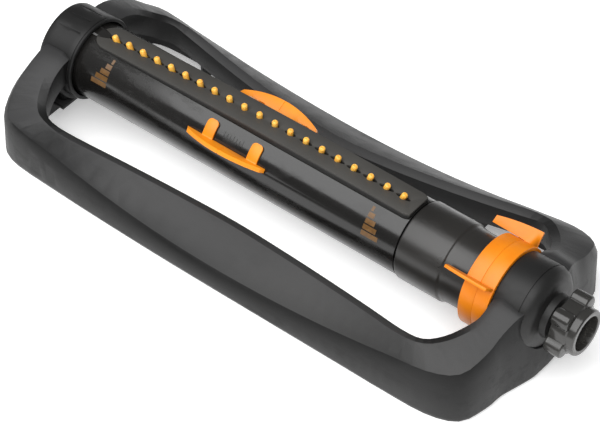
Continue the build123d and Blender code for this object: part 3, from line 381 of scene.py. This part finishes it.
def orange_plastic(name, light, deep, rough):
    """Bright orange moulding with soft flow clouds, fine grain and handling marks."""
    recipe = Recipe(name)
    cloud = recipe.noise(55.0, 4.0, 0.6)
    fine = recipe.noise(2800.0, 2.0)
    tone = recipe.mix(recipe.ramp(cloud, 0.3, 0.7), deep, light)
    marks = recipe.noise(140.0, 6.0, 0.75, recipe.stretched((0.4, 1.0, 1.0)))
    tone = recipe.mix(recipe.ramp(marks, 0.58, 0.72, 0.0, 0.20), tone, scaled(deep, 0.62))
    recipe.colour(tone)
    recipe.roughness(recipe.ramp(cloud, 0.3, 0.7, rough - 0.04, rough + 0.06))
    recipe.bump((fine, 0.00004, 0.45), (marks, 0.00005, 0.2))
    recipe.gloss(0.45)
    return recipe.material


def control_orange():
    """The width sliders' orange."""
    return orange_plastic("control_orange", (0.88, 0.29, 0.006), (0.80, 0.235, 0.004), 0.38)


def ring_orange():
    """The range rings' orange."""
    return orange_plastic("ring_orange", (0.84, 0.245, 0.003), (0.76, 0.20, 0.002), 0.38)


def coupling_plastic():
    """The swivel's polished black, with mould flow and rubbed lobes."""
    recipe = moulded_plastic("coupling_plastic", (0.009, 0.009, 0.0085), 0.17, grain=1600.0,
                             grain_depth=0.00002, specular=0.6, dust_amount=0.10, scratches=0.8)
    return recipe.material


def stem_plastic():
    """The inner mouldings' plain dark plastic."""
    return moulded_plastic("stem_plastic", (0.045, 0.045, 0.045), 0.5, dust_amount=0.15).material


def acetal(name, colour):
    """Off-white bearing plastic with faint flow lines and a waxy sheen."""
    recipe = moulded_plastic(name, colour, 0.38, grain=2200.0, grain_depth=0.00003, specular=0.45,
                             dust=(0.40, 0.36, 0.30), dust_amount=0.12)
    recipe.shader.inputs["Subsurface Weight"].default_value = 0.15
    recipe.shader.inputs["Subsurface Scale"].default_value = 0.002
    return recipe.material


def seal_rubber():
    """Black nitrile, dull, with talc in the pores."""
    return moulded_plastic("seal_rubber", (0.020, 0.020, 0.021), 0.65, grain=1800.0, grain_depth=0.00006,
                           specular=0.35, dust_amount=0.30).material


def filter_plastic():
    """The strainer's pale grey moulding, weathered by hard water."""
    recipe = moulded_plastic("filter_plastic", (0.58, 0.56, 0.50), 0.40, grain=2600.0,
                             specular=0.5, dust=(0.62, 0.58, 0.48), dust_amount=0.45)
    return recipe.material


def steel(name, colour, rough):
    """Plated steel with fine turning lines and dull spots."""
    recipe = Recipe(name)
    lines = recipe.noise(900.0, 4.0, 0.7, recipe.stretched((8.0, 1.0, 1.0)))
    spots = recipe.noise(160.0, 4.0, 0.6)
    tone = recipe.mix(recipe.ramp(spots, 0.35, 0.7), scaled(colour, 0.82), colour)
    recipe.colour(tone)
    recipe.roughness(recipe.ramp(spots, 0.3, 0.75, rough - 0.06, rough + 0.16))
    recipe.bump((lines, 0.00002, 0.6))
    recipe.shader.inputs["Metallic"].default_value = 1.0
    return recipe.material


def printed_ink(name, light, deep):
    """Pad-printed ink with a faint mottling."""
    recipe = Recipe(name)
    cloud = recipe.noise(300.0, 4.0, 0.65)
    tone = recipe.mix(recipe.ramp(cloud, 0.32, 0.68), deep, light)
    recipe.colour(tone)
    recipe.roughness(recipe.ramp(cloud, 0.3, 0.7, 0.28, 0.42))
    recipe.bump((recipe.noise(3000.0), 0.00002, 0.4))
    recipe.gloss(0.5)
    return recipe.material


SLOT_MATERIALS = {
    "frame_plastic": frame_plastic(),
    "hub_plastic": hub_plastic(),
    "tube_plastic": tube_plastic(),
    "motor_plastic": motor_plastic(),
    "deck_plastic": deck_plastic(),
    "nozzle_rubber": nozzle_rubber(),
    "control_orange": control_orange(),
    "ring_orange": ring_orange(),
    "coupling_plastic": coupling_plastic(),
    "stem_plastic": stem_plastic(),
    "bearing_plastic": acetal("bearing_plastic", (0.62, 0.60, 0.54)),
    "gear_plastic": acetal("gear_plastic", (0.72, 0.71, 0.66)),
    "seal_rubber": seal_rubber(),
    "filter_plastic": filter_plastic(),
    "screw_steel": steel("screw_steel", (0.56, 0.56, 0.58), 0.28),
    "spring_steel": steel("spring_steel", (0.50, 0.50, 0.50), 0.32),
}

# ---- finish of the CAD nodes ----
ROUNDED_EDGES = {
    "base_frame": 0.0011, "left_hub_cover": 0.0006, "right_hub_cover": 0.0006, "spray_tube": 0.0002,
    "nozzle_deck": 0.0003, "motor_housing": 0.0004, "front_width_slider": 0.0005,
    "rear_width_slider": 0.0005, "front_range_ring": 0.0003, "rear_range_ring": 0.0003,
    "hose_coupling": 0.0005, "inlet_filter": 0.0001, "coupling_washer": 0.0002,
}
SMOOTH_LIMIT = 32.0
SHARP_LIMIT = 20.0
WELD_DISTANCE = 0.000004
BEVEL_SEGMENTS = 2


def finish_nodes():
    """Give every CAD node its slot's material, smooth shading and, where it shows, rounded edges."""
    for entry in frame["record"]["subparts"]:
        node = NODES[entry["node"]]
        mesh = node.data
        mesh.materials.clear()
        mesh.materials.append(SLOT_MATERIALS[entry["material_slot"]])
        weld = node.modifiers.new("weld", "WELD")
        weld.merge_threshold = WELD_DISTANCE
        if entry["node"] in ROUNDED_EDGES:
            bevel = node.modifiers.new("rounded_edges", "BEVEL")
            bevel.width = ROUNDED_EDGES[entry["node"]]
            bevel.segments = BEVEL_SEGMENTS
            bevel.limit_method = "ANGLE"
            bevel.angle_limit = radians(SMOOTH_LIMIT)
            bevel.harden_normals = False
        mesh.shade_smooth()
        mesh.set_sharp_from_angle(angle=radians(SHARP_LIMIT))


# ---- printed marks ----
def curved_patch(bm, x0, x1, angle0, angle1, radius, steps=6):
    """A thin patch on a cylinder round the spray axis, between two places and two angles from the top."""
    rows = []
    for index in range(steps + 1):
        angle = radians(angle0 + (angle1 - angle0) * index / steps)
        y = -radius * sin(angle)
        z = AXIS_Z + radius * cos(angle)
        rows.append((bm.verts.new((x0, y, z)), bm.verts.new((x1, y, z))))
    for low, high in zip(rows, rows[1:]):
        bm.faces.new((low[0], low[1], high[1], high[0]))


def make_marks(name, patches, material, body):
    """One object from a list of printed patches."""
    bm = bmesh.new()
    for patch in patches:
        curved_patch(bm, *patch)
    bmesh.ops.recalc_face_normals(bm, faces=bm.faces)
    mesh = bpy.data.meshes.new(name)
    bm.to_mesh(mesh)
    bm.free()
    mesh.materials.append(material)
    mesh.shade_smooth()
    marks = bpy.data.objects.new(name, mesh)
    bpy.context.scene.collection.objects.link(marks)
    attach(marks, body)
    return marks


def make_spray_marks():
    """The striped gold wedge near each end of the tube: a plain sign for the spray's width."""
    gold = printed_ink("gold_ink", (0.15, 0.070, 0.012), (0.085, 0.036, 0.006))
    radius = TUBE_RADIUS + MARK_LIFT
    for number, (base, lean) in enumerate(SPRAY_MARK_PLACES):
        patches = []
        span = SPRAY_MARK_LOW_ANGLE - SPRAY_MARK_HIGH_ANGLE
        pitch = span / SPRAY_MARK_STRIPES
        for index in range(SPRAY_MARK_STRIPES):
            low = SPRAY_MARK_LOW_ANGLE - pitch * index
            share = index / (SPRAY_MARK_STRIPES - 1)
            centre = base + lean * share
            half = SPRAY_MARK_HALF_WIDTH * (1 - share) + SPRAY_MARK_TIP_WIDTH * share
            patches.append((centre - half, centre + half, low, low - pitch * SPRAY_MARK_FILL, radius))
        make_marks(f"spray_mark_{number + 1}", patches, gold, "spray")


def make_width_scale():
    """The row of fine ticks between the front slider's prongs."""
    ink = printed_ink("scale_ink", (0.016, 0.016, 0.016), (0.008, 0.008, 0.008))
    radius = TUBE_RADIUS + MARK_LIFT
    patches = []
    for index in range(SCALE_TICKS):
        x = SCALE_X + (index - (SCALE_TICKS - 1) / 2) * SCALE_TICK_PITCH
        reach = SCALE_LONG_REACH if index % 3 == 0 else SCALE_SHORT_REACH
        half = SCALE_TICK_WIDTH / 2
        patches.append((x - half, x + half, SCALE_ANGLE + reach, SCALE_ANGLE - reach, radius))
    make_marks("width_scale", patches, ink, "spray")


make_camera()
make_world(WORLD_STRENGTH)
make_area_light("front_top_softbox", LIGHT_AZIMUTH, LIGHT_ELEVATION, LIGHT_DISTANCE,
                LIGHT_WIDTH, LIGHT_HEIGHT, LIGHT_POWER)
make_floor()
finish_nodes()
make_spray_marks()
make_width_scale()
bpy.context.scene.view_settings.view_transform = "Standard"
